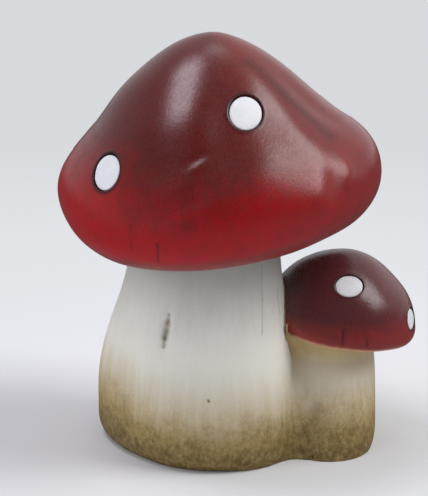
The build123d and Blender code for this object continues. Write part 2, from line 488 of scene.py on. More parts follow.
def smooth_line(points, count):
    """Rows along a cubic spline through the points, evenly spaced; the line ends level on the axis."""
    points = np.array(points, float)
    whole = len(points)
    points = np.concatenate([points, points[-2:-4:-1] * (-1, 1, 1)])
    gaps = np.linalg.norm(np.diff(points[:, :2], axis=0), axis=1)
    knots = np.concatenate([[0], np.cumsum(gaps)])
    last = len(points) - 1
    system = np.zeros((last + 1, last + 1))
    target = np.zeros_like(points)
    system[0, 0] = system[last, last] = 1
    for i in range(1, last):
        system[i, i - 1:i + 2] = gaps[i - 1], 2 * (gaps[i - 1] + gaps[i]), gaps[i]
        target[i] = 6 * ((points[i + 1] - points[i]) / gaps[i] - (points[i] - points[i - 1]) / gaps[i - 1])
    bend = np.linalg.solve(system, target)
    ways = np.linspace(0, knots[whole - 1], count)
    part = np.clip(np.searchsorted(knots, ways, "right") - 1, 0, last - 1)
    gap = gaps[part][:, None]
    after = (ways - knots[part])[:, None]
    before = gap - after
    return ((bend[part] * before ** 3 + bend[part + 1] * after ** 3) / (6 * gap)
            + (points[part] / gap - bend[part] * gap / 6) * before
            + (points[part + 1] / gap - bend[part + 1] * gap / 6) * after)


class CapShape:
    """A cap's skin as rows of points; sizes come in millimetres, the tilt in degrees, the seat in metres."""

    def __init__(self, outline, waves, brim, seat, tilt, rows):
        self.line = smooth_line(np.array(outline) * MM, rows)
        self.waves = [(lobes, bearing, out * MM, up * MM) for lobes, bearing, out, up in waves]
        self.brim = brim * MM
        self.seat = np.array(seat)
        self.tilt = math.radians(tilt)

    def skin(self):
        """Vertices, faces and flow of the closed skin."""
        turns = np.linspace(0, TAU, CAP_TURNS, endpoint=False)
        radius, height, shift = (self.line[:-1, i][:, None] for i in range(3))
        weight = (radius / self.brim) ** 2
        out = radius + 0 * turns
        up = height + 0 * turns
        for lobes, bearing, wave_out, wave_up in self.waves:
            swing = weight * np.cos(lobes * (turns - math.radians(bearing)))
            out = out + wave_out * swing * radius / self.brim
            up = up + wave_up * swing
        local = np.stack([shift + out * np.cos(turns), out * np.sin(turns), up], -1)
        rows = len(local)
        ways = np.linspace(0, 1, rows + 1)[:-1]
        flat = 0 * out
        flow = np.stack([np.cos(turns) + flat, np.sin(turns) + flat, ways[:, None] + flat], -1)
        apex = self.line[-1]
        foot = self.line[0]
        places = np.concatenate([local.reshape(-1, 3), [[apex[2], 0, apex[1]], [foot[2], 0, foot[1]]]])
        flow = np.concatenate([flow.reshape(-1, 3), [[0, 0, 1], [0, 0, 0]]])
        here = np.arange(rows * CAP_TURNS).reshape(rows, CAP_TURNS)
        beside = np.roll(here, -1, 1)
        quads = np.stack([here[:-1], beside[:-1], beside[1:], here[1:]], -1).reshape(-1, 4)
        top = np.full(CAP_TURNS, rows * CAP_TURNS)
        faces = [tuple(q) for q in quads]
        faces += [(a, b, c) for a, b, c in zip(here[-1], beside[-1], top)]
        faces += [(b, a, c) for a, b, c in zip(here[0], beside[0], top + 1)]
        return self.to_frame(places), faces, flow

    def to_frame(self, places):
        """Seat coordinates turned by the tilt and moved to the seat."""
        c, s = math.cos(self.tilt), math.sin(self.tilt)
        turned = np.stack([places[:, 0] * c - places[:, 2] * s, places[:, 1],
                           places[:, 0] * s + places[:, 2] * c], 1)
        return turned + self.seat


def local_axes(normal):
    """Two directions square to a normal."""
    across = np.cross(normal, (0, 0, 1))
    across /= np.linalg.norm(across)
    return across, np.cross(normal, across)


def skin_normals(places, faces):
    """Outward direction at each vertex."""
    normals = np.zeros_like(places)
    quads = np.array([f for f in faces if len(f) == 4])
    corners = places[quads]
    flat = np.cross(corners[:, 2] - corners[:, 0], corners[:, 3] - corners[:, 1])
    for i in range(4):
        np.add.at(normals, quads[:, i], flat)
    return normals / np.maximum(np.linalg.norm(normals, axis=1), TINY)[:, None]


def sink_recess(places, faces, flow, rim, skin, seat, rings):
    """Cuts a hole in a mesh and fills it with rings that follow a skin: radius, lift and share of the dark
    tone, pooled glaze on the lip and painted shade down the wall.
    """
    centre, normal, across, upward, stretch = seat
    away = places - centre
    a, b, h = away @ across / stretch[0], away @ upward / stretch[1], away @ normal
    edge = rings[0][0]
    inside = (np.hypot(a, b) < edge) & (np.abs(h) < edge)
    kept = [f for f in faces if not any(inside[v] for v in f)]
    gone = [f for f in faces if any(inside[v] for v in f)]
    shared = {v for f in gone for v in f if not inside[v]}
    loop = sorted(shared, key=lambda v: math.atan2(b[v], a[v]))
    bearings = np.array([math.atan2(b[v], a[v]) for v in loop])

    def ring_places(radius, lift):
        x, y = radius * np.cos(bearings) * stretch[0], radius * np.sin(bearings) * stretch[1]
        flat = centre + x[:, None] * across + y[:, None] * upward
        found = [skin.ray_cast(Vector(p + normal * edge), Vector(-normal))[0] for p in flat]
        return np.array(found) + lift * normal

    places[loop] = ring_places(*rings[0][:2])
    rim[loop] = rings[0][2]
    previous = list(loop)
    for radius, lift, tone in rings[1:]:
        first = len(places)
        places = np.concatenate([places, ring_places(radius, lift)])
        flow = np.concatenate([flow, flow[loop]])
        rim = np.concatenate([rim, np.full(len(loop), tone)])
        current = list(range(first, first + len(loop)))
        for i in range(len(loop)):
            j = (i + 1) % len(loop)
            kept.append((previous[i], previous[j], current[j], current[i]))
        previous = current
    kept.append(tuple(previous))
    return places, kept, flow, rim


def drop_loose(places, faces, *columns):
    """Leaves out the vertices that no face uses."""
    used = np.unique(np.concatenate([np.array(f) for f in faces]))
    number = np.full(len(places), -1)
    number[used] = np.arange(len(used))
    return places[used], [tuple(int(number[v]) for v in f) for f in faces], *[c[used] for c in columns]


def recess_rings(radius, ring, spots):
    """Rings of one recess, from the undisturbed glaze over the lip and down the wall to the floor."""
    gap = ring * spots.gap
    lip = ring * spots.lip
    wall = radius + gap
    floor = -spots.sink - spots.thickness
    return [
        (wall + 1.5 * lip, 0.0, 0.0),
        (wall + 1.1 * lip, 0.0, 0.1),
        (wall + 0.75 * lip, 0.6 * spots.lip_rise, 0.6),
        (wall + 0.45 * lip, spots.lip_rise, 0.95),
        (wall + 0.2 * lip, 0.8 * spots.lip_rise, 1.0),
        # From the wall down, the dark tone is painted shade in the gap round the disc
        (wall, 0.0, 1.0),
        (wall - 0.2 * gap, floor * 0.5, 1.0),
        (wall - 0.3 * gap, floor, 1.0),
        (radius * 0.5, floor, 1.0),
        (radius * 0.1, floor, 1.0),
    ]


def spot_seat(places, normals, node):
    """Seat of a spot on a skin: place, facing, two axes and their stretches."""
    shift, turn, *stretch = SPOT_FORMS.get(node, ROUND_SPOT)
    wanted = np.array(middle(node) + Vector(shift) * MM)
    nearest = np.argmin(((places - wanted) ** 2).sum(1))
    normal = normals[nearest].copy()
    across, upward = local_axes(normal)
    c, s = math.cos(math.radians(turn)), math.sin(math.radians(turn))
    return places[nearest].copy(), normal, across * c + upward * s, upward * c - across * s, stretch


def cap_piece(name, shape, hollows, relief, relief_size, nodes, radius, ring, spots):
    """Cap mesh with hollows and recesses, and the seats of its spots."""
    places, faces, flow = shape.skin()
    mesh = bpy.data.meshes.new(name + "_skin")
    mesh.from_pydata(places.tolist(), [], faces)
    model_surface(mesh, hollows, relief, relief_size)
    places = read_vectors(mesh.vertices, "co")
    normals = skin_normals(places, faces)
    skin = BVHTree.FromPolygons([Vector(p) for p in places], faces)
    bpy.data.meshes.remove(mesh)
    rim = np.zeros(len(places))
    seats = [spot_seat(places, normals, node) for node in nodes]
    for seat in seats:
        places, faces, flow, rim = sink_recess(places, faces, flow, rim, skin, seat,
                                               recess_rings(radius, ring, spots))
    places, faces, flow, rim = drop_loose(places, faces, flow, rim)
    mesh = bpy.data.meshes.new(name)
    mesh.from_pydata(places.tolist(), [], faces)
    store(mesh, "flow", flow)
    mesh.attributes.new("rim", "FLOAT", "POINT").data.foreach_set("value", rim.astype(np.float32))
    return add_piece(name, mesh), seats


# Spots: discs set on the floors of the recesses

DISC_TURNS = 64
DISC_ROWS = 28
DISC_CORNER = 0.3
DISC_CLOUD = 180.0
DISC_UNEVEN = 0.3 * MM
SPOT_SHADE = 0.8

# Spots that aren't round or stand beside their CAD place: shift in millimetres, turn in degrees, stretches
SPOT_FORMS = {
    "large_spot_1": ((1.3, 0, 0.9), -105, 1.09, 0.92),
    "large_spot_2": ((-0.4, 0, 0), 140, 1.23, 0.91),
    "small_spot_1": ((0.8, 0, -0.2), 12, 1.09, 0.95),
    "small_spot_2": ((0.3, 1.6, 0), 0, 1.0, 0.85),
}
ROUND_SPOT = ((0, 0, 0), 0, 1.0, 1.0)


def spot_tree():
    """Round-edged discs on points, each turned to the facing of its point, with a softly uneven face."""
    lengths = ("radius", "thickness", "sink", "bend", "uneven")
    tree, graph, size = geometry_tree("Toadstool spots", lengths, "Seats")
    grid, turn, way = graph.sheet(DISC_TURNS, DISC_ROWS)
    round_way = way * math.pi
    level = graph.math("COSINE", round_way) * -1
    out = graph.cut(graph.math("SINE", round_way), 0.0, 1.0) ** DISC_CORNER * size["radius"]
    up = graph.math("SIGN", level) * graph.math("ABSOLUTE", level) ** DISC_CORNER * size["thickness"] / 2
    lowered = up - size["thickness"] / 2 - size["sink"] - out * out / (size["bend"] * 2)
    place = graph.vector(out * graph.math("COSINE", turn), out * graph.math("SINE", turn), lowered)
    disc = graph.node("GeometryNodeSetPosition", {}, {"Geometry": grid, "Position": place})
    disc = graph.node("GeometryNodeMergeByDistance", {}, {"Geometry": disc, "Distance": WELD})
    facing, across, stretch = (graph.node("GeometryNodeInputNamedAttribute", {"data_type": "FLOAT_VECTOR"},
                                          {"Name": name}) for name in ("facing", "across", "stretch"))
    turned = graph.node("FunctionNodeAlignRotationToVector", {"axis": "Z"}, {"Vector": facing})
    turned = graph.node("FunctionNodeAlignRotationToVector", {"axis": "X", "pivot_axis": "Z"},
                        {"Rotation": turned, "Vector": across})
    spots = graph.node("GeometryNodeInstanceOnPoints", {},
                       {"Points": size["Seats"], "Instance": disc, "Rotation": turned, "Scale": stretch})
    spots = graph.node("GeometryNodeRealizeInstances", {}, {"Geometry": spots})
    here = graph.node("GeometryNodeInputPosition", {}, {})
    rough = graph.noise(here, DISC_CLOUD, detail=2.0).swing()
    normal = graph.node("GeometryNodeInputNormal", {}, {})
    shift = graph.scaled(normal, rough * size["uneven"])
    spots = graph.node("GeometryNodeSetPosition", {}, {"Geometry": spots, "Offset": shift})
    graph.outlet(spots, size["material"])
    return tree


def seat_points(seats):
    """Mesh of loose points with the facing, the first axis and the stretches of each."""
    mesh = bpy.data.meshes.new("seats")
    centres, facing, across, _, stretch = zip(*seats)
    mesh.from_pydata([list(centre) for centre in centres], [], [])
    store(mesh, "facing", facing)
    store(mesh, "across", across)
    store(mesh, "stretch", [(*pair, 1) for pair in stretch])
    return mesh


# Seams: the lines where the short toadstool meets the tall stem

CAST = 200 * MM
BEAD_TURNS = 12
BEAD_CLOUD = 260.0
CLEARANCE = 0.3 * MM

# Rounding of the crease: widths by height, reach of its ends, and the steps that lay it on the blend
FILLET_POINTS = 21
FILLET_HEIGHTS = (0, 0.3, 0.5, 0.8, 1)
FILLET_WIDTHS = (2.0, 1.7, 1.5, 1.2, 0.5)
FILLET_REACH = 1.3
FILLET_BACK = 0.5
FILLET_BELOW = np.linspace(0.02, 0.95, 12)
FILLET_SINK = 0.03 * MM
FILLET_PROBE = 0.1 * MM
FILLET_STEPS = 8
FILLET_STEP = 2 * MM
FLATTEST = 0.04


def seam_tree():
    """Uneven round bead along lines."""
    tree, graph, size = geometry_tree("Toadstool seam", ("radius", "uneven", "step"), "Lines")
    line = graph.node("GeometryNodeMeshToCurve", {}, {"Mesh": size["Lines"]})
    line = graph.node("GeometryNodeResampleCurve", {"mode": "LENGTH"},
                      {"Curve": line, "Length": size["step"]})
    here = graph.node("GeometryNodeInputPosition", {}, {})
    swell = graph.noise(here, BEAD_CLOUD, detail=2.0).swing() * size["uneven"] + size["radius"]
    ring = graph.node("GeometryNodeCurvePrimitiveCircle", {}, {"Resolution": BEAD_TURNS, "Radius": 1.0})
    bead = graph.node("GeometryNodeCurveToMesh", {},
                      {"Curve": line, "Profile Curve": ring, "Scale": swell, "Fill Caps": True})
    bead = graph.node("GeometryNodeRealizeInstances", {}, {"Geometry": bead})
    graph.outlet(bead, size["material"])
    return tree


def meeting_lines(piece, wall, low, high, centre_at, clearance, steps=70, turns=180):
    """Two chains of points, near and far side, where a piece's wall comes out of another piece's wall."""
    depsgraph = bpy.context.evaluated_depsgraph_get()
    own = BVHTree.FromObject(piece, depsgraph)
    other = BVHTree.FromObject(wall, depsgraph)
    chains = ([], [])
    for height in np.linspace(low, high, steps):
        centre = Vector(centre_at(height))
        for chain, way in zip(chains, (1, -1)):
            for turn in np.linspace(0, way * math.pi, turns):
                out = Vector((-math.cos(turn), -math.sin(turn), 0))
                place = own.ray_cast(centre + out * CAST, -out)[0]
                if place is None:
                    break
                nearest, normal, _, _ = other.find_nearest(place)
                if (place - nearest).dot(normal) > clearance:
                    if turn != 0:
                        chain.append(nearest + normal * clearance)
                    break
    return [smooth_chain(chain) for chain in chains]


def wall_beside(wall, centre, place, travel):
    """Point of an upright wall, a way along it from a place at the same height."""
    out = Vector((place[0] - centre[0], place[1] - centre[1]))
    bearing = math.atan2(out.y, out.x) + travel / out.length
    way = Vector((math.cos(bearing), math.sin(bearing), 0))
    return np.array(wall.ray_cast(Vector(centre) + way * CAST, -way)[0])


def outside(wall, place):
    """Distance of a place from a closed wall, below zero inside it."""
    nearest, normal, _, _ = wall.find_nearest(Vector(place))
    gap = Vector(place) - nearest
    return math.copysign(gap.length, gap.dot(normal))


def blended(walls, place, width):
    """Distance from two walls that flow together over a width, a hair more so that the ends sink in."""
    first, second = [outside(wall, place) for wall in walls]
    return min(first, second) - max(width - abs(first - second), 0.0) ** 2 / (4 * width) + FILLET_SINK


def onto_blend(walls, place, width):
    """Place moved level onto two blended walls, by Newton steps."""
    place = np.array(place)
    probes = np.eye(3)[:2] * FILLET_PROBE
    for _ in range(FILLET_STEPS):
        height = blended(walls, place, width)
        slope = np.array([blended(walls, place + probe, width) - height for probe in probes]) / FILLET_PROBE
        move = -height * slope / max(slope @ slope, FLATTEST)
        place[:2] += move * min(1.0, FILLET_STEP / max(np.hypot(*move), TINY))
    return place


def crease_fillet(name, walls, chains, centres, reach, rise):
    """Closed strips that round out the crease between two walls along both chains, wider to the floor."""
    shares = np.linspace(0, 1, FILLET_POINTS)[:, None]
    places = []
    faces = []
    for chain, side in zip(chains, (1, -1)):
        first = len(places)
        below = [(*chain[0][:2], height) for height in FILLET_BELOW * chain[0][2]]
        chain = np.concatenate([below, chain])
        for corner in chain:
            width = reach * np.interp(corner[2] / chain[-1][2], FILLET_HEIGHTS, FILLET_WIDTHS)
            ends = [wall_beside(wall, centre_at(corner[2]), corner, way * side * FILLET_REACH * width)
                    for wall, centre_at, way in zip(walls, centres, (-1, 1))]
            guess = (1 - shares) ** 2 * ends[0] + 2 * shares * (1 - shares) * corner + shares ** 2 * ends[1]
            inner = corner + (corner - (ends[0] + ends[1]) / 2) * FILLET_BACK
            places += [*(onto_blend(walls, place, width) for place in guess), inner]
        count = FILLET_POINTS + 1
        places += [p + np.array((0, 0, rise)) for p in places[-count:]]
        for row in range(len(chain)):
            for i in range(count):
                j = (i + 1) % count
                a, b = first + row * count + i, first + row * count + j
                faces.append((a, b, b + count, a + count)[::side])
        last = first + len(chain) * count
        faces.append(tuple(range(first, first + count))[::-side])
        faces.append(tuple(range(last, last + count))[::side])
    mesh = bpy.data.meshes.new(name)
    mesh.from_pydata([list(p) for p in places], [], faces)
    store(mesh, "flow", [(*Vector(p[:2]).normalized(), p[2] / chains[0][-1][2]) for p in places])
    return add_piece(name, mesh)


def smooth_chain(points, passes=6):
    """Chain of points with its small steps evened out."""
    points = np.array(points)
    for _ in range(passes):
        points[1:-1] = (points[:-2] + 2 * points[1:-1] + points[2:]) / 4
    return points


def line_mesh(chains):
    """Mesh of edges along chains of points."""
    places = []
    edges = []
    for chain in chains:
        first = len(places)
        places += [list(p) for p in chain]
        edges += [(first + i, first + i + 1) for i in range(len(chain) - 1)]
    mesh = bpy.data.meshes.new("lines")
    mesh.from_pydata(places, edges, [])
    return mesh


# Materials

MARK_CORE = 0.2
SKY_TONE = (0.95, 0.97, 1.0, 1)
NOISE_MIDDLE = (0.5, 0.5, 0.5)

# Wavers: scale, and amount in millimetres
MARK_WAVER = (300.0, 0.8)
GROOVE_WAVER = (60.0, 3.0)

# Scales along three axes of the noises that run in streaks
GLAZE_FLOW = (22.0, 22.0, 3.0)
CLAY_DRAG = (430.0, 430.0, 45.0)
CLAY_FLOW = (9.0, 9.0, 1.5)
CLAY_SPECK = (1.0, 1.0, 0.6)


def new_material(name):
    """Material with an empty tree, and the graph that fills it."""
    material = bpy.data.materials.new(name)
    material.use_nodes = True
    material.node_tree.nodes.clear()
    return material, Graph(material.node_tree)


def finish_material(graph, ior, colour, roughness, normal, specular=0.5):
    """Surface shader of a material."""
    sockets = {"IOR": ior, "Specular IOR Level": specular, "Base Color": colour, "Roughness": roughness,
               "Normal": normal}
    shader = graph.node("ShaderNodeBsdfPrincipled", {}, sockets)
    graph.node("ShaderNodeOutputMaterial", {}, {"Surface": shader})


def surface_place(graph):
    """Object coordinates, in metres."""
    return graph.node("ShaderNodeTexCoord", {}, {}, output="Object")


def attribute(graph, name, output):
    """Value that a mesh stores at its vertices."""
    return graph.node("ShaderNodeAttribute", {"attribute_name": name}, {}, output=output)


def bump(graph, height, strength, distance):
    """Fine relief for the Normal input, with its height in millimetres."""
    sockets = {"Strength": strength, "Distance": distance * MM, "Height": height}
    return graph.node("ShaderNodeBump", {}, sockets)


def line_mark(graph, place, start, end, width):
    """Soft mask along a straight line between two points given in millimetres."""
    start, end = Vector(start) * MM, Vector(end) * MM
    along = end - start
    away = graph.combine("SUBTRACT", place, start)
    run = graph.combine("DOT_PRODUCT", away, along, "Value")
    share = graph.cut(run / max(along.length_squared, WELD ** 2), 0.0, 1.0)
    gap = graph.combine("DISTANCE", away, graph.scaled(along, share), "Value")
    return graph.ease(gap, MARK_CORE * width * MM, width * MM, 1.0, 0.0, soft=True)


def shaken(graph, place, scale, amount):
    """Places moved a little at random, so that lines drawn with them waver."""
    cloud = graph.node("ShaderNodeTexNoise", {}, {"Vector": place, "Scale": scale}, output="Color")
    centred = graph.combine("SUBTRACT", cloud, NOISE_MIDDLE)
    return graph.combine("ADD", place, graph.scaled(centred, amount * MM))


def marks_mask(graph, place, marks):
    """Sum of line marks given as start, end, width and strength."""
    wavering = shaken(graph, place, *MARK_WAVER)
    total = 0
    for *line, strength in marks:
        total = total + line_mark(graph, wavering, *line) * strength
    return graph.cut(total, 0.0, 1.0)


def cap_glaze(name, tones, crown_range, edge_range, slant, side_share, patch, groove, cracks):
    """Satin glaze, deep on the crown and in a patch, brighter below, paler and matter at the edge (painted
    floor reflection on the tall cap, bare edge on the short cap), mottled.
    """
    material, graph = new_material(name)
    crown, band, edge, far_side, rim_tone = tones
    dark = [value * 0.6 for value in crown]
    place = surface_place(graph)
    flow = attribute(graph, "flow", "Vector")
    right, _, way = graph.parts(flow)
    cloud = graph.noise(place, 34.0, detail=4.0)
    mottle = graph.noise(place, 230.0, detail=4.0, roughness=0.6)
    streaks = graph.noise(graph.combine("MULTIPLY", flow, GLAZE_FLOW), 1.0, detail=3.0)
    grain = graph.noise(place, 1300.0, detail=2.0)

    depth = way + right * slant + cloud.swing() * 0.12 + streaks.swing() * 0.06 + mottle.swing() * 0.06
    deep = graph.ease(depth + line_mark(graph, place, *patch) * 0.07, *crown_range, soft=True)
    side = graph.ease(right + cloud.swing() * 0.6, 0.1, 0.9, soft=True)
    # Lower edge, rougher: on the tall cap its paler colour is a painted reflection of the floor, on the
    # short cap the bare clay edge
    dust_and_reflection = graph.ease(way + streaks.swing() * 0.03, *edge_range, 1.0, 0.0, soft=True)
    # Painted shade along a groove
    groove_shade = line_mark(graph, shaken(graph, place, *GROOVE_WAVER), *groove)
    split_glaze = marks_mask(graph, place, cracks)
    colour = graph.coat(
        band,
        (deep, crown),
        (side * side_share, far_side),
        (dust_and_reflection * 0.85, edge),
        (graph.ease(mottle, 0.45, 0.8) * 0.3, dark),
        (graph.ease(grain, 0.5, 0.8) * 0.05, dark),
        (groove_shade * 0.6, dark),
        (split_glaze, rim_tone),
        # Dark tone of the recesses: pooled glaze on the lip, painted shade down the wall
        (attribute(graph, "rim", "Fac"), rim_tone),
    )
    roughness = 0.33 - deep * 0.05 + grain.swing() * 0.2 + mottle.swing() * 0.15 + dust_and_reflection * 0.12
    relief = grain * 0.55 + mottle * 0.12 - split_glaze * 1.5
    finish_material(graph, 1.5, colour, roughness, bump(graph, relief, 0.22, 0.4), 0.42)
    return material


def stem_clay(name, tones, height, neck_shade_reach, neck_shade_tone, neck_shade_share, lines):
    """Matt pale clay with a brown wash that is thick at the foot and thins out upwards in streaks, and
    painted shade under the cap.
    """
    material, graph = new_material(name)
    ivory, ochre, umber = tones.ivory, tones.ochre, tones.umber
    shade = [0.84 * ivory[0], 0.82 * ivory[1], 0.76 * ivory[2]]
    place = surface_place(graph)
    flow = attribute(graph, "flow", "Vector")
    right, _, up = graph.parts(place)
    streaks = graph.noise(graph.combine("MULTIPLY", place, CLAY_DRAG), 1.0, detail=4.0, roughness=0.6)
    broad = graph.noise(graph.combine("MULTIPLY", flow, CLAY_FLOW), 1.0, detail=3.0)
    cloud = graph.noise(place, 60.0, detail=5.0, roughness=0.6)
    grain = graph.noise(place, 1250.0, detail=3.0, roughness=0.6)
    blotch = graph.noise(place, 170.0, detail=3.0, roughness=0.6)
    speck = graph.noise(graph.combine("MULTIPLY", place, CLAY_SPECK), 640.0, detail=3.0, roughness=0.7)

    rise = up * 1000
    uneven = streaks.swing() * 9 + broad.swing() * 8 + cloud.swing() * 10
    uneven = uneven - graph.ease(right * 1000, -38.0, -5.0, 7.0, 0.0, soft=True)
    wash = rise + uneven
    thin = graph.ease(wash, 8.0, 38.0, 1.0, 0.0, soft=True)
    thick = graph.ease(rise + uneven * 0.6, 1.0, 21.0, 1.0, 0.0, soft=True)
    stain = graph.ease(wash, 5.0, 27.0, 0.55, 0.0, soft=True)
    # Painted shade under the cap: a shadow tone on the tall stem, ochre on the short stem that is partly
    # wash and partly painted shade
    neck = graph.ease(rise + uneven * 0.3, height * 1000 - neck_shade_reach, height * 1000 - 1, soft=True)
    cut = marks_mask(graph, place, lines)
    colour = graph.coat(
        ivory,
        (graph.ease(cloud, 0.35, 0.75) * 0.3, shade),
        (graph.ease(streaks, 0.45, 0.8) * 0.3, shade),
        (graph.ease(wash, 24.0, 50.0, 0.2, 0.0, soft=True), ochre),
        (thin * (0.76 + graph.ease(grain, 0.3, 0.7) * 0.24), ochre),
        (stain * graph.ease(blotch * 0.6 + speck * 0.4, 0.45, 0.62), umber),
        (thick * (0.45 + graph.ease(speck, 0.35, 0.65) * 0.55), umber),
        (neck * neck_shade_share, neck_shade_tone),
        (cut, umber),
    )
    relief = grain * 0.7 + streaks * 0.6 - cut * 1.5
    finish_material(graph, 1.42, colour, 0.6 + grain.swing() * 0.2, bump(graph, relief, 0.25, 0.5), 0.3)
    return material


def spot_enamel(name, white, shade):
    """Chalky white with faint clouds and specks."""
    material, graph = new_material(name)
    place = surface_place(graph)
    cloud = graph.noise(place, 240.0, detail=4.0)
    speck = graph.noise(place, 700.0, detail=1.0)
    colour = graph.coat(white, (graph.ease(cloud, 0.4, 0.8) * 0.3, shade),
                        (graph.ease(speck, 0.74, 0.8) * 0.5, shade))
    finish_material(graph, 1.45, colour, 0.5 + cloud.swing() * 0.2, bump(graph, cloud, 0.2, 0.4))
    return material


def seam_slip(name, slip, umber):
    """Rough brown slip with darker clots."""
    material, graph = new_material(name)
    place = surface_place(graph)
    clots = graph.noise(place, 420.0, detail=4.0)
    colour = graph.mix(graph.ease(clots, 0.35, 0.7), slip, umber)
    finish_material(graph, 1.4, colour, 0.7 + clots.swing() * 0.3, bump(graph, clots, 0.4, 0.5))
    return material


def floor_paint(name, tone, shown, backdrop):
    """Matt floor, pale to the camera, that fades into an even backdrop; glazes mirror it only close by."""
    material, graph = new_material(name)
    place = surface_place(graph)
    distance = graph.combine("DISTANCE", place, (0, 0, 0), "Value")
    ray = graph.node("ShaderNodeLightPath", {}, {}, output="Is Camera Ray")
    cloud = graph.noise(place, 1.5, detail=2.0)
    mirrored = ray.other("Is Glossy Ray") * graph.ease(distance, 0.05, 0.16, 0.6, 1.0)
    colour = graph.coat(tone, (ray, shown), (mirrored, [0.1 * value for value in tone]))
    sockets = {"IOR": 1.3, "Specular IOR Level": 0.1, "Base Color": colour,
               "Roughness": 0.85 + cloud.swing() * 0.1}
    matt = graph.node("ShaderNodeBsdfPrincipled", {}, sockets)
    dimmer = [0.88 * value for value in backdrop]
    glow = graph.mix(graph.ease(distance, 0.2, 0.6, soft=True), backdrop, dimmer)
    even = graph.node("ShaderNodeEmission", {}, {"Color": glow})
    fade = ray * graph.ease(distance, 0.13, 0.26, soft=True)
    faded = graph.node("ShaderNodeMixShader", {}, {0: fade, 1: matt, 2: even})
    graph.node("ShaderNodeOutputMaterial", {}, {"Surface": faded})
    return material


def studio_light(name, sky, side, back, dim):
    """Light from all round, stronger from the left; glazes mirror a bright backdrop and a dark room."""
    world = bpy.data.worlds.new(name)
    world.use_nodes = True
    world.node_tree.nodes.clear()
    graph = Graph(world.node_tree)
    right, ahead, up = graph.parts(graph.node("ShaderNodeTexCoord", {}, {}))
    mirrored = graph.node("ShaderNodeLightPath", {}, {}, output="Is Glossy Ray")

    def even(strength):
        return graph.node("ShaderNodeBackground", {}, {"Color": SKY_TONE, "Strength": strength})

    beside = right * -0.95 - ahead * 0.3
    left = graph.ease(beside, 0.1, 0.9, soft=True) * graph.ease(up, 0.4, 0.8, 1.0, 0.0)
    lit = graph.node("ShaderNodeMixShader", {}, {0: left, 1: even(sky), 2: even(side)})
    bright = graph.ease(ahead, -0.5, 0.9, soft=True) * graph.ease(right, -0.9, 0.3, 0.45, 1.0)
    seen = graph.node("ShaderNodeMixShader", {}, {0: bright, 1: even(dim), 2: even(back)})
    light = graph.node("ShaderNodeMixShader", {}, {0: mirrored, 1: lit, 2: seen})
    graph.node("ShaderNodeOutputWorld", {}, {"Surface": light})
    return world


# Forms and marks of the pieces

def hollow(point, along, reach, width, depth):
    """One hollow, written in millimetres."""
    return Vector(point) * MM, Vector(along), reach * MM, width * MM, depth * MM


# Cap outlines from the seat round the brim to the apex, in millimetres: radius, height, shift of the axis
TALL_CAP_OUTLINE = [
    (26, 0, 0), (38, -1.9, 2.8), (46, -2.8, 5.7), (53.4, 1.4, 5.6), (56.8, 8.5, 5.0), (56.8, 17, 4.7),
    (51, 28, 5.0), (40.7, 39, 5.3), (31, 50.2, 5.8), (19.5, 60.5, 6.6), (8.7, 66.6, 7.8), (0, 68.5, 9.0),
]
SHORT_CAP_OUTLINE = [
    (14.5, 0, 0), (20, 0, 1.5), (24.5, 0.5, 3.3), (27.7, 3.1, 3.6), (27.3, 8.8, 3.8), (24.7, 15.2, 4),
    (16.5, 24.7, 4), (8.1, 29.1, 4), (0, 30.6, 4),
]

# Waves of the tall cap: lobes, bearing in degrees, and swings outwards and upwards in millimetres
TALL_CAP_WAVES = [(3, 10, 2.2, 0), (2, -37, 1.05, 0), (2, -10, 0, 2.43)]

# Hollows: point, direction, length, width and depth; a depth below zero raises the clay
TALL_CAP_HOLLOWS = [
    hollow((9, -36, 124), (0, -29, -32), 20, 9, 1.5),
    hollow((-20, -26, 124), (-0.3, -0.4, -0.6), 14, 10, 0.4),
    hollow((-8, -37, 123), (1, 0, 0), 24, 15, -2.0),
    hollow((-9, -31, 130), (0, -0.7, -0.7), 14, 9, 0.5),
    hollow((33, -30, 122), (0.5, -0.35, -0.6), 18, 8, -1.2),
    hollow((38, -14, 130), (0.75, -0.1, -0.6), 17, 6, 0.8),
    hollow((1.2, -45, 114.5), (7.2, 3.2, 4.7), 4.5, 2, 0.3),
    hollow((1.8, -46.8, 112.3), (7.2, 3.2, 4.7), 4.5, 2, -0.25),
    hollow((-0.2, -52.2, 106), (7.5, 1, 2.8), 4.5, 2, 0.15),
    hollow((-4, -56.7, 96), (12, -0.9, 4.9), 8, 3.5, -0.4),
    hollow((6, -55.5, 101.5), (7.5, 3.4, 6.2), 6, 3, -0.25),
    hollow((-3, -55.5, 102), (12, -0.9, 4.9), 9, 4, 0.4),
    hollow((45, -43, 97), (0.7, 0.7, 0), 15, 11, -2.2),
    hollow((51.8, -31.8, 106.2), (0.2, 0.3, 1), 6, 4, -0.8),
    hollow((46, -38.5, 104), (0, 0.3, 1), 7, 4, 0.9),
    hollow((58, 0, 112), (0, 1, 0), 25, 9, -1.2),
]
SHORT_CAP_HOLLOWS = [
    hollow((51.4, -23, 47), (0, 0.2, 1), 3.5, 1.1, 0.5),
    hollow((58.5, -21.5, 46.5), (0, 0.2, 1), 3.0, 1.1, 0.4),
    hollow((71, -2, 60), (0, 1, 0), 14, 7, 1.1),
]
TALL_STEM_HOLLOWS = [
    hollow((-10.2, -28, 50), (-2.1, -2.4, -11.2), 5.5, 1.7, 1.2),
    hollow((8, -29, 54), (0, -0.2, -1), 22, 11, 1.5),
    hollow((-15, -24, 45), (0, -0.2, -1), 12, 8, -0.6),
    hollow((-35, -6, 30), (0, 0, 1), 16, 18, -1.6),
]

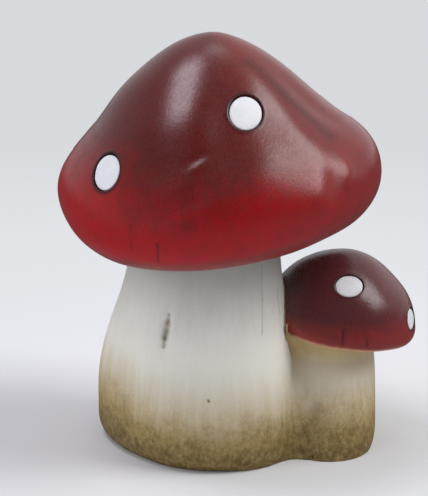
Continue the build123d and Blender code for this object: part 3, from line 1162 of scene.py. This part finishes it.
# Cracks in the glaze and cuts in the clay, in millimetres: start, end, width and strength
TALL_CAP_CRACKS = [
    ((-20.8, -50.9, 93.5), (-20.9, -50.2, 85.5), 0.9, 0.5),
    ((-12, -55.6, 88.4), (-11.8, -53.1, 82), 0.9, 0.6),
    ((-17, -54, 97), (-16.6, -54.4, 92), 0.6, 0.4),
]
SHORT_CAP_CRACKS = [
    ((51.8, -22.3, 48.3), (51.8, -23.5, 42.9), 0.8, 0.6),
    ((60.3, -22.2, 45.3), (60.4, -22.5, 41.9), 0.8, 0.5),
]
TALL_STEM_CUTS = [
    ((23.3, -18.8, 71), (23.3, -21.8, 59.2), 0.7, 0.22),
    ((23.3, -21.8, 59.2), (23.2, -26.1, 47.7), 0.7, 0.22),
    ((28.8, -13.6, 61.1), (29.9, -16, 52.2), 0.7, 0.3),
    ((4.6, -36.7, 27.2), (4.6, -36.7, 27.1), 0.9, 0.8),
    ((-9.2, -26.9, 55.5), (-11.2, -29.1, 44.5), 1.1, 0.45),
    ((-9.7, -27.4, 52.6), (-10.6, -28.4, 47.6), 2.0, 0.5),
]
SHORT_STEM_CUTS = [((50, -20, 30), (50.3, -20, 24), 0.5, 0.3)]

# Patches of deeper glaze, and grooves darkened with painted shade, in millimetres: start, end and width
TALL_CAP_PATCH = ((-12, -50, 106), (6, -50, 110), 26)
TALL_CAP_GROOVE = ((18, -15, 141), (45, -25, 118), 4.5)
SHORT_CAP_PATCH = ((38, -12, 56), (47, -16, 56), 10)
SHORT_CAP_GROOVE = ((36, -8, 60), (36, 8, 60), 5)

# Soft boxes: place, size and tone by name
SOFT_BOXES = {
    "key": ((-0.32, 0.03, 1.06), (0.42, 0.42), (0.96, 0.92, 1.0)),
    "fill": ((0.7, -0.1, 0.83), (0.52, 0.74), (1.0, 0.99, 0.98)),
    "top": ((0.08, 0.4, 1.08), (0.26, 0.2), (1.0, 1.0, 1.0)),
}
FLOOR_HALF = 4.0
SENSOR = 36
CLIP = 0.01


# Operators: one for each piece or group, and one for the stage

def stem_values(group, material):
    """Inputs of the stem tree from a property group."""
    values = {name: getattr(group, name) for name in STEM_SIZES}
    return {**values, "material": material}


def sizes(context):
    """The property groups of the scene."""
    return context.scene.toadstools


def set_spots(name, tree, settings, radius, seats, nodes, bend):
    """White discs in the recesses of a cap."""
    spots = settings.spots
    white = settings.finish.white
    enamel = bpy.data.materials.get("spot_enamel")
    if enamel is None:
        enamel = spot_enamel("spot_enamel", white, [SPOT_SHADE * value for value in white])
    values = {"radius": radius, "thickness": spots.thickness, "sink": spots.sink, "bend": bend,
              "uneven": DISC_UNEVEN, "material": enamel}
    discs = grow(name, tree, values, seat_points(seats))
    smooth_shading(discs.data)
    settle(discs, "white_spot", *nodes)


class TOADSTOOL_OT_tall_stem(bpy.types.Operator):
    """Raise the tall stem"""

    bl_idname = "toadstool.tall_stem"
    bl_label = "Tall stem"

    def execute(self, context):
        group = sizes(context).tall_stem
        tones = sizes(context).finish
        shadow = [0.42 * value for value in tones.ivory]
        clay = stem_clay("tall_stem_clay", tones, group.height, neck_shade_reach=42, neck_shade_tone=shadow,
                         neck_shade_share=0.95, lines=TALL_STEM_CUTS)
        piece = grow("tall_stem", stem_tree(), stem_values(group, clay))
        model_surface(piece.data, TALL_STEM_HOLLOWS, relief=0.35 * MM, relief_size=18 * MM)
        smooth_shading(piece.data)
        settle(piece, "stem_biscuit", "large_stem")
        return {"FINISHED"}


class TOADSTOOL_OT_short_stem(bpy.types.Operator):
    """Raise the short stem, lay it against the tall one and round out the crease between them"""

    bl_idname = "toadstool.short_stem"
    bl_label = "Short stem"

    def execute(self, context):
        group = sizes(context).short_stem
        other = sizes(context).tall_stem
        tones = sizes(context).finish
        # Ochre under the short cap: partly wash, partly painted shade
        clay = stem_clay("short_stem_clay", tones, group.height, neck_shade_reach=15, neck_shade_tone=tones.ochre,
                         neck_shade_share=0.85, lines=SHORT_STEM_CUTS)
        tall = bpy.data.objects["tall_stem"]
        piece = grow("short_stem", bpy.data.node_groups["Toadstool stem"], stem_values(group, clay))
        model_surface(piece.data, [], relief=0.25 * MM, relief_size=14 * MM)

        def centre_at(height):
            share = height / group.height
            return group.stand_x + group.lean_x * share, group.stand_y + group.lean_y * share, height

        def tall_centre_at(height):
            return other.lean_x * height / other.height, 0.0, height

        top = group.height + group.flare_rise
        chains = meeting_lines(piece, tall, low=0.6 * MM, high=top, centre_at=centre_at, clearance=CLEARANCE)
        depsgraph = context.evaluated_depsgraph_get()
        walls = [BVHTree.FromObject(stem, depsgraph) for stem in (tall, piece)]
        press_against(piece.data, tall, CLEARANCE)
        smooth_shading(piece.data)
        settle(piece, "stem_biscuit", "small_stem")
        centres = tall_centre_at, centre_at
        seam = crease_fillet("stem_seam", walls, chains, centres, reach=6 * MM, rise=6 * MM)
        seam.data.materials.append(clay)
        smooth_shading(seam.data, sharpest=70.0)
        settle(seam, "joining_slip", "stem_seam_slip")
        return {"FINISHED"}


class TOADSTOOL_OT_tall_cap(bpy.types.Operator):
    """Turn the tall cap, wave its brim and set its white spots"""

    bl_idname = "toadstool.tall_cap"
    bl_label = "Tall cap"

    def execute(self, context):
        tones = sizes(context).finish
        spots = sizes(context).spots
        seat = middle("large_neck_slip") + Vector((-0.3, 0, SLIP_HALF)) * MM
        shape = CapShape(TALL_CAP_OUTLINE, TALL_CAP_WAVES, brim=56, seat=seat, tilt=6.0, rows=220)
        nodes = [f"large_spot_{i}" for i in range(1, 7)]
        piece, seats = cap_piece("tall_cap", shape, TALL_CAP_HOLLOWS, relief=0.5 * MM, relief_size=22 * MM,
                                 nodes=nodes, radius=spots.large, ring=1.0, spots=spots)
        glazes = tones.crown, tones.crimson, tones.brim, tones.russet, tones.rim
        glaze = cap_glaze("tall_cap_glaze", glazes, crown_range=(0.29, 0.58), edge_range=(0.225, 0.262),
                          slant=0.055, side_share=0.7, patch=TALL_CAP_PATCH, groove=TALL_CAP_GROOVE,
                          cracks=TALL_CAP_CRACKS)
        piece.data.materials.append(glaze)
        smooth_shading(piece.data)
        settle(piece, "red_glaze", "large_cap")
        set_spots("tall_cap_spots", spot_tree(), sizes(context), spots.large, seats, nodes, bend=60 * MM)
        return {"FINISHED"}


class TOADSTOOL_OT_short_cap(bpy.types.Operator):
    """Turn the short cap, lay it against the tall stem and set its white spots"""

    bl_idname = "toadstool.short_cap"
    bl_label = "Short cap"

    def execute(self, context):
        tones = sizes(context).finish
        spots = sizes(context).spots
        seat = middle("small_neck_slip") + Vector((0, 0, SLIP_HALF)) * MM
        shape = CapShape(SHORT_CAP_OUTLINE, [], brim=27.7, seat=seat, tilt=-8.8, rows=170)
        nodes = [f"small_spot_{i}" for i in range(1, 5)]
        piece, seats = cap_piece("short_cap", shape, SHORT_CAP_HOLLOWS, relief=0.3 * MM, relief_size=12 * MM,
                                 nodes=nodes, radius=spots.small, ring=0.6, spots=spots)
        tall = bpy.data.objects["tall_stem"]
        low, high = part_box("small_cap")
        centre = middle("small_cap")
        chains = meeting_lines(piece, tall, low=low.z + 5 * MM, high=high.z - 4 * MM,
                               centre_at=lambda height: (centre.x, centre.y, height), clearance=0.2 * MM)
        press_against(piece.data, tall, CLEARANCE)
        glazes = tones.maroon, tones.wine, tones.biscuit, tones.wine, tones.rim
        glaze = cap_glaze("short_cap_glaze", glazes, crown_range=(0.27, 0.43), edge_range=(0.2, 0.245),
                          slant=-0.035, side_share=0.2, patch=SHORT_CAP_PATCH, groove=SHORT_CAP_GROOVE,
                          cracks=SHORT_CAP_CRACKS)
        piece.data.materials.append(glaze)
        smooth_shading(piece.data)
        settle(piece, "maroon_glaze", "small_cap")
        tree = bpy.data.node_groups["Toadstool spots"]
        set_spots("short_cap_spots", tree, sizes(context), spots.small, seats, nodes, bend=24 * MM)
        slip = seam_slip("cap_seam_slip", tones.slip, tones.umber)
        values = {"radius": 0.22 * MM, "uneven": 0.1 * MM, "step": 0.6 * MM, "material": slip}
        bead = grow("cap_seam", seam_tree(), values, line_mesh(chains))
        smooth_shading(bead.data)
        settle(bead, "joining_slip", "cap_seam_slip")
        return {"FINISHED"}


class TOADSTOOL_OT_neck_slips(bpy.types.Operator):
    """Give the slip rings under the caps their finish"""

    bl_idname = "toadstool.neck_slips"
    bl_label = "Neck slips"

    def execute(self, context):
        tones = sizes(context).finish
        slip = seam_slip("neck_slip", tones.slip, tones.umber)
        for node in ("large_neck_slip", "small_neck_slip"):
            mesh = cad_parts[node].data
            mesh.materials.clear()
            mesh.materials.append(slip)
        return {"FINISHED"}


class TOADSTOOL_OT_stage(bpy.types.Operator):
    """Set the floor, the camera and the lamps"""

    bl_idname = "toadstool.stage"
    bl_label = "Stage"

    def execute(self, context):
        studio = sizes(context).studio
        mesh = bpy.data.meshes.new("floor")
        corners = [(x * FLOOR_HALF, y * FLOOR_HALF, 0) for x, y in ((-1, -1), (1, -1), (1, 1), (-1, 1))]
        mesh.from_pydata(corners, [], [(0, 1, 2, 3)])
        floor = add_piece("floor", mesh)
        mesh.materials.append(floor_paint("floor_paint", studio.floor, studio.shown, studio.backdrop))

        aim = Vector((studio.aim_x, studio.aim_y, studio.aim_z))
        back = Vector((0, -math.cos(studio.elevation), math.sin(studio.elevation)))
        camera = bpy.data.objects.new("camera", bpy.data.cameras.new("camera"))
        camera.data.lens = studio.lens
        camera.data.sensor_width = SENSOR
        camera.data.clip_start = CLIP
        camera.location = aim + back * studio.distance
        camera.rotation_euler = back.to_track_quat("Z", "Y").to_euler()
        context.scene.collection.objects.link(camera)
        context.scene.camera = camera

        for name, form in SOFT_BOXES.items():
            self.soft_box(context, name, *form, getattr(studio, name), aim)
        context.scene.world = studio_light("studio", studio.sky, studio.side, studio.back, studio.dim)
        context.scene.view_settings.view_transform = "Standard"
        return {"FINISHED"}

    @staticmethod
    def soft_box(context, name, place, spread, tone, power, aim):
        """Rectangular lamp that faces the aim."""
        data = bpy.data.lights.new(name, "AREA")
        data.shape = "RECTANGLE"
        data.size, data.size_y = spread
        data.energy = power
        data.color = tone
        lamp = bpy.data.objects.new(name, data)
        lamp.location = place
        lamp.rotation_euler = (Vector(place) - aim).to_track_quat("Z", "Y").to_euler()
        context.scene.collection.objects.link(lamp)


class Toadstools(bpy.types.PropertyGroup):
    """Everything that can be set on the pair."""

    tall_stem: PointerProperty(type=TallStem, name="Tall stem", description="Sizes of the tall stem")
    short_stem: PointerProperty(type=ShortStem, name="Short stem", description="Sizes of the short stem")
    spots: PointerProperty(type=Spots, name="Spots", description="Sizes of the white spots")
    finish: PointerProperty(type=Finish, name="Finish", description="Colours")
    studio: PointerProperty(type=Studio, name="Studio", description="Camera, lamps and floor")


STEPS = (TOADSTOOL_OT_tall_stem, TOADSTOOL_OT_short_stem, TOADSTOOL_OT_tall_cap, TOADSTOOL_OT_short_cap,
         TOADSTOOL_OT_neck_slips, TOADSTOOL_OT_stage)


class TOADSTOOL_PT_build(bpy.types.Panel):
    """Lists the building steps"""

    bl_idname = "TOADSTOOL_PT_build"
    bl_label = "Toadstools"
    bl_space_type = "VIEW_3D"
    bl_region_type = "UI"
    bl_category = "Toadstools"

    def draw(self, context):
        for step in STEPS:
            self.layout.operator(step.bl_idname)


CLASSES = (TallStem, ShortStem, Spots, Finish, Studio, Toadstools, *STEPS, TOADSTOOL_PT_build)


def register():
    """Adds the classes and the scene's settings."""
    for entry in CLASSES:
        bpy.utils.register_class(entry)
    bpy.types.Scene.toadstools = PointerProperty(type=Toadstools, name="Toadstools",
                                                 description="Settings of the toadstool pair")


def unregister():
    """Takes them away again."""
    del bpy.types.Scene.toadstools
    for entry in reversed(CLASSES):
        bpy.utils.unregister_class(entry)


def main():
    """Builds every piece and the stage."""
    register()
    bpy.ops.toadstool.tall_stem()
    bpy.ops.toadstool.short_stem()
    bpy.ops.toadstool.tall_cap()
    bpy.ops.toadstool.short_cap()
    bpy.ops.toadstool.neck_slips()
    bpy.ops.toadstool.stage()


if __name__ == "__main__":
    main()
